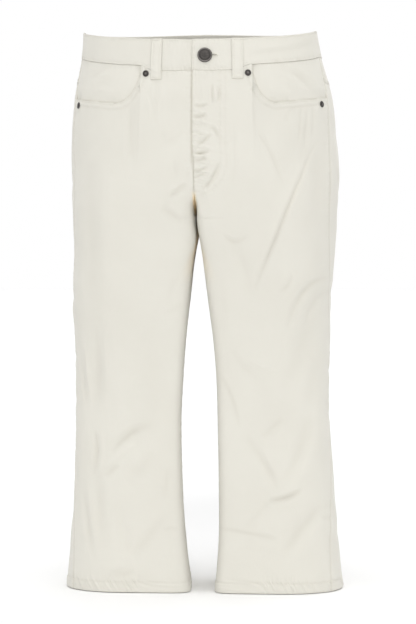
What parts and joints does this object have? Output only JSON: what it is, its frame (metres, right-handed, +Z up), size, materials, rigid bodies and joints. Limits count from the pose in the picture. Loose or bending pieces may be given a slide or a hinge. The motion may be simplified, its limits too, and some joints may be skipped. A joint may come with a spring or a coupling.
{
  "type": "cropped flared five-pocket trousers, filled out as worn",
  "caption": "Cropped cotton twill trousers with slightly flared open legs, scooped front pockets, a yoked back with patch pockets and a buttoned waistband with belt loops.",
  "frame": {"origin": "middle of the waist, level with the top edge of the waistband at the sides, where the wearer holds the garment up", "axes": "+Z up along the wearer, the legs hanging down -Z; the front faces -Y; +X is the wearer's left"},
  "size_m": [0.3596, 0.2473, 0.7259],
  "materials": {
    "twill": "off-white cotton twill, matt, with tonal stitching",
    "band": "the same twill, doubled and stitched flat",
    "metal": "dark gunmetal plate with a worn, brighter relief"
  },
  "bodies": {
    "root": {"front_left": "twill", "front_right": "twill", "pocket_facing_left": "twill", "pocket_facing_right": "twill", "back_left": "twill", "back_right": "twill", "yoke_left": "twill", "yoke_right": "twill", "back_pocket_left": "twill", "back_pocket_right": "twill", "waistband": "band", "belt_loop_front_left": "band", "belt_loop_front_right": "band", "belt_loop_side_left": "band", "belt_loop_side_right": "band", "belt_loop_back": "band", "waist_button": "metal", "rivet_inner_left": "metal", "rivet_inner_right": "metal", "rivet_outer_left": "metal", "rivet_outer_right": "metal"}
  },
  "joints": []
}
